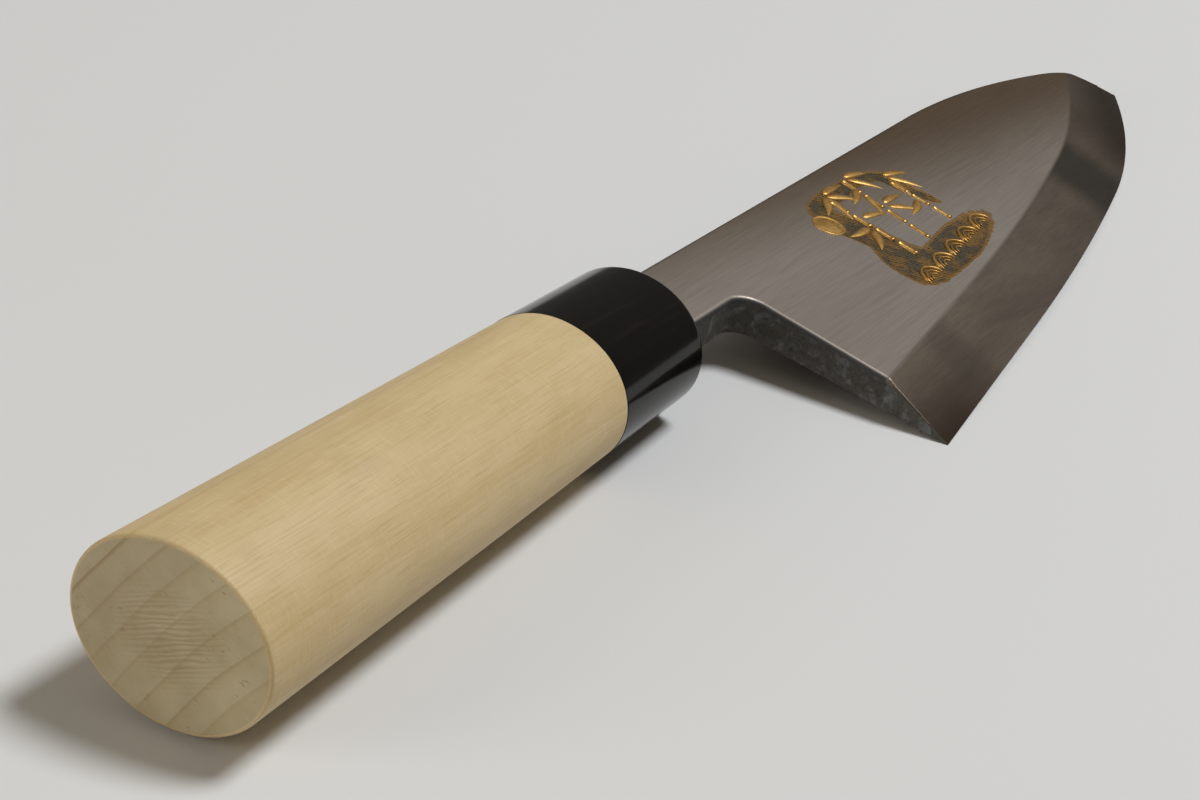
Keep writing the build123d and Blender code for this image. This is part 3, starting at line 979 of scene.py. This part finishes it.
def add_iron(material):
    """The iron from the weld up, with the neck, its walls and its foot on the steel."""
    end_reach = iron_end_reach()
    reaches = np.concatenate([corner_steps, np.arange(1.3, end_reach, line_spacing), [end_reach]])
    starts, inward, *stops, shares = blade_lines(reaches)
    land, rise, weld_share = bevel_levels(starts, inward)
    first = (weld_share / shares)[:, None]
    climbs = first + (1 - first) * np.linspace(0, 1, 22)
    low_shares = np.linspace(0, 1, 59)
    plan = blade_plan([starts, *stops], climbs, low_shares, graded(19.7))
    flat_from = climbs.shape[1]
    bevel = np.ones(plan.shape[:2])
    bevel[:, :flat_from] = climbs * shares[:, None]

    level = flat_level(plan[..., 0], plan[..., 1])
    bevel_level = land[:, None] + rise[:, None] * bevel
    level[:, :flat_from] = bevel_level[:, :flat_from]
    short = shares < 1
    level[short, flat_from:] = bevel_level[short, flat_from - 1][:, None]
    weld_level = arch_level(plan[..., 0], steel_thickness)
    weld_level[:, 0] = level[:, 0]
    rounding = corner_rounding * np.clip((bevel - 0.85) / 0.15, 0.25, 1)
    rounding = np.minimum(rounding, 0.45 * np.maximum(level - weld_level, 0))
    level -= corner_drop(corner_distance(plan), rounding)
    ground = np.clip(ground_depth_share(plan) * 2.0, 0, 1)

    joint = flat_from + len(low_shares) - 2
    neck = neck_plan(plan[0, joint:])
    neck_level = flat_level(neck[..., 0], neck[..., 1])
    neck_level -= corner_drop(corner_distance(neck), corner_rounding)
    top_edge, floor_edge = np.dstack([plan, level]), np.dstack([plan, weld_level])
    top_neck = np.dstack([neck, neck_level])
    weld_neck = np.dstack([neck, arch_level(neck[..., 0], steel_thickness)])
    floor_neck = np.dstack([neck, arch_level(neck[..., 0])])

    shell = Shell("blade_body")
    shell.grid(np.dstack([plan, level - ground * ground_depth]))
    shell.grid(top_neck)
    ends = (np.s_[0, :joint + 1], np.s_[-1], np.s_[:, -1])
    sides = (np.s_[0], np.s_[:, 0], np.s_[:, -1])
    walls = [(top_edge[part], floor_edge[part]) for part in ends]
    walls += [(top_neck[part], weld_neck[part]) for part in sides]
    lower_walls = [(weld_neck[part], floor_neck[part]) for part in sides]
    lower_walls.append((floor_edge[0, joint:], floor_neck[-1]))
    wall_shares, lower_shares = np.linspace(0, 1, 16)[:, None], np.linspace(0, 1, 4)[:, None]
    for upper, lower in walls:
        shell.grid(mix(upper, lower, wall_shares), mark=np.minimum(1, wall_shares * 9))
    for upper, lower in lower_walls:
        shell.grid(mix(upper, lower, lower_shares), mark=1.0)
    marks = [0] + [1] * plan.shape[1] + [0]
    for row, beside in ((0, 1), (-1, -2)):
        shell.patch([*floor_edge[row], floor_edge[beside, -1], floor_edge[beside, 0]], marks)
    shell.grid(np.stack([floor_edge[1:-1, 0], floor_edge[1:-1, -1]]), mark=[[0], [1]])
    shell.grid(floor_neck, mark=1.0)
    piece = shell.build([material], 14, forged)
    add_blade_attributes(piece.data)
    stand_for(piece, "blade_iron", "blade_iron")


def add_blade_attributes(mesh):
    """Values for the material: how far a point is up the bevel, and inside the picture's ground."""
    places = knife_points(mesh)[:, :2]
    from_edge = distance_to(places, edge_points[::8])
    add_attribute(mesh, "bevel", np.clip((bevel_width + 0.4 - from_edge) / 0.6, 0, 1))
    add_attribute(mesh, "ground", ground_depth_share(places))


def add_steel(material):
    """The hard steel under the iron, its back ground hollow inside a flat rim."""
    last = edge_reach[-1]
    reaches = np.concatenate([corner_steps, np.arange(1.6, last - 0.3, 2 * line_spacing), [last]])
    starts, inward, *stops, shares = blade_lines(reaches)
    land, rise, weld_share = bevel_levels(starts, inward)
    first = np.minimum(1, weld_share / np.maximum(shares, 0.001))[:, None]
    below, above = np.linspace(0, 1, 5), np.linspace(0, 1, 12)[1:]
    climbs = np.concatenate([first * below, first + (1 - first) * above], axis=1)
    plan = blade_plan([starts, *stops], climbs, np.linspace(0, 1, 24), np.linspace(0, 1, 18))
    bevel = np.repeat(shares[:, None], plan.shape[1], axis=1)
    bevel[:, :climbs.shape[1]] *= climbs
    bevel_level = land[:, None] + rise[:, None] * bevel
    upper = np.dstack([plan, np.minimum(bevel_level, arch_level(plan[..., 0], steel_thickness))])
    ground_share = np.clip(steel_rim_distance(plan) / hollow_reach, 0, 1)
    hollow = hollow_depth * (1 - (1 - ground_share) ** 2)
    lower = np.dstack([plan, arch_level(plan[..., 0]) + hollow])

    shell = Shell("steel_layer")
    shell.grid(upper)
    shell.grid(lower)
    for part in (np.s_[0], np.s_[-1], np.s_[:, 0], np.s_[:, -1]):
        shell.grid([upper[part], lower[part]])
    piece = shell.build([material], 14)
    add_attribute(piece.data, "hollow", steel_rim_distance(knife_points(piece.data)[:, :2]))
    stand_for(piece, "edge_steel", "edge_steel")


# Gold picture
def picture_frame():
    """Origin and the two directions of the picture on the front face, and its normal."""
    x_slope, y_slope = np.array([(1, 0, -taper_to_tip_share), (0, 1, taper_to_edge_share)])
    x_way = x_slope / np.linalg.norm(x_slope)
    normal = np.cross(x_slope, y_slope)
    normal /= np.linalg.norm(normal)
    turn = math.radians(edge_heading)
    middle = on_blade(picture_share)
    across = x_way * math.cos(turn) + np.cross(normal, x_way) * math.sin(turn)
    return np.array([*middle, flat_level(*middle)]), across, np.cross(normal, across), normal


picture_origin, picture_across, picture_up, picture_normal = picture_frame()


def on_picture(across, up, rise):
    """Points of the picture as points of the knife's plane."""
    across, up, rise = (part[..., None] for part in np.broadcast_arrays(across, up, rise))
    return picture_origin + across * picture_across + up * picture_up + rise * picture_normal


def spot(shares):
    return np.array(shares) * (picture_width, picture_height)


def crowned_strip(shell, centres, widths, heights, columns=13):
    """A strip along a centre line, crowned across, with a flat foot sunk into the iron."""
    ways = np.gradient(centres, axis=0)
    ways /= np.linalg.norm(ways, axis=1)[:, None]
    sides = pairs(-ways[:, 1], ways[:, 0])
    share = np.linspace(-1, 1, columns)
    aside = share * widths[:, None] / 2
    places = centres[:, None] + sides[:, None] * aside[..., None]
    crown = heights[:, None] * np.sqrt(np.maximum(1 - share**2, 0))
    top, foot = (on_picture(places[..., 0], places[..., 1], rise) for rise in (crown, -inlay_sink))
    shell.grid(top)
    for part in (np.s_[:, 0], np.s_[:, -1], np.s_[0], np.s_[-1]):
        shell.grid([top[part], foot[part]])
    shell.grid(foot)


def add_culms(material):
    shell = Shell("gold_bamboo_culms")
    for foot_share, top_share, count in culm_shares:
        foot, top = spot(foot_share), spot(top_share)
        gap = culm_gap / math.dist(foot, top) / 2
        for number in range(count):
            start, end = mix(foot, top, [number / count + gap, (number + 1) / count - gap])
            share = np.linspace(0, 1, 25)
            rim = np.minimum(share, 1 - share) * math.dist(start, end)
            knot = np.exp(-((rim - knot_place) / knot_width) ** 2)
            closing = np.sqrt(np.clip(rim / culm_closing, 0.02, 1))
            widths = culm_width * (0.80 + 0.20 * knot) * closing
            heights = inlay_rise * (0.80 + 0.45 * knot) * closing
            crowned_strip(shell, mix(start, end, share), widths, heights)
    stand_for(shell.build([material], 50), "gold", "gold_culms")


def add_leaves(material):
    shell = Shell("gold_bamboo_leaves")
    share = np.linspace(0, 1, 25)
    reach, bend = share * leaf_length, leaf_bend * np.sin(share * math.pi)
    full = np.maximum(np.sin(math.pi * share**0.62) ** 0.8, 0.02)
    for stalk_share, direction in leaf_shares:
        cos, sin = math.cos(math.radians(direction)), math.sin(math.radians(direction))
        centres = spot(stalk_share) + pairs(reach * cos - bend * sin, reach * sin + bend * cos)
        crowned_strip(shell, centres, leaf_width * full, inlay_rise * full)
    stand_for(shell.build([material], 50), "gold", "gold_leaves")


def add_moon(material):
    shell = Shell("gold_moon_disc")
    middle = spot(moon_share)
    angles = np.linspace(0, 2 * math.pi, 72, endpoint=False)
    steps = [(1.0, -inlay_sink), (1.0, 0.0), (0.985, 0.10), (0.95, 0.15), (0.88, 0.13), (0.84, 0.06)]
    steps += [(share, 0.06 + 0.12 * (1 - (share / 0.84) ** 2)) for share in np.linspace(0.8, 0.04, 20)]
    rim = moon_radius * pairs(np.cos(angles), np.sin(angles))
    rows = [on_picture(*(middle + rim * share).T, rise) for share, rise in steps]
    shell.grid(rows, close=True)
    shell.patch(rows[-1])
    shell.patch(rows[0])
    stand_for(shell.build([material], 50), "gold", "gold_moon")


def add_waves(material):
    shell = Shell("gold_wave_crests")
    half = wave_half_share * wave_pitch
    radius = (half**2 + wave_rise**2) / (2 * wave_rise)
    opening = math.asin(half / radius)
    level = wave_rise - wave_base - radius
    share = np.linspace(0, 1, 33)
    taper = np.clip(np.minimum(share, 1 - share) * 12, 0.15, 1)
    for number in range(wave_count):
        middle = (number - (wave_count - 1) / 2) * wave_pitch
        for inset in wave_insets:
            angles = np.linspace(-opening, opening, 33) * (1 - 0.05 * inset)
            size = radius - inset
            centres = pairs(middle + size * np.sin(angles), level + size * np.cos(angles))
            thin = taper if inset == 0 else taper * 0.5
            crowned_strip(shell, centres, wave_width * thin, inlay_rise * thin, 7)
    stand_for(shell.build([material], 50), "gold", "gold_waves")


def dress_node(name, material):
    """Gives a node of the frame its material, and its points their places in the knife's plane."""
    piece = frame["nodes"][name]
    points = [piece.matrix_world @ vert.co for vert in piece.data.vertices]
    add_attribute(piece.data, "knife", from_row(points), "FLOAT_VECTOR", "vector")
    piece.data.materials.clear()
    piece.data.materials.append(material)


def add_floor():
    mesh = bpy.data.meshes.new("table")
    corners = [(x * table_half, y * table_half, 0) for x, y in ((-1, -1), (1, -1), (1, 1), (-1, 1))]
    mesh.from_pydata(corners, [], [(0, 1, 2, 3)])
    mesh.materials.append(table_top())
    floor = add_object("table", mesh)


def add_lamp(name, place, aim, width, power, colour):
    data = bpy.data.lights.new(name, "AREA")
    data.shape = "DISK"
    data.size = width
    data.energy = power
    data.color = colour
    lamp = add_object(name, data)
    lamp.location = place
    lamp.rotation_euler = (Vector(aim) - Vector(place)).to_track_quat("-Z", "Y").to_euler()


def add_room():
    """A dim room, darkest low down at its far end, and pale to the camera."""
    net = Net("room", "worlds", "Background")
    glossy = net.node("ShaderNodeLightPath", output="Is Glossy Ray")
    seen = net.node("ShaderNodeLightPath", output="Is Camera Ray")
    way = net.node("ShaderNodeTexCoord", output="Generated")
    rise = net.vector_math("DOT_PRODUCT", way, room_axis, "Value")
    room = net.tones(rise, -0.38, 0.32, (52, 45, 38), (118, 111, 98))
    net.set(Color=net.blend(glossy * 0.15 + seen, room, paint(212, 212, 211)), Strength=1.0)
    bpy.context.scene.world = net.block


gold_leaf = gold()
add_handle(wood_side(), wood_end())
add_ferrule(horn())
add_iron(blade_iron())
add_steel(edge_steel())
add_culms(gold_leaf)
add_leaves(gold_leaf)
add_moon(gold_leaf)
add_waves(gold_leaf)
dress_node("tang_seal", seal_resin())
add_floor()
add_room()
for lamp in lamps:
    add_lamp(*lamp)
bpy.context.scene.view_settings.view_transform = "Standard"
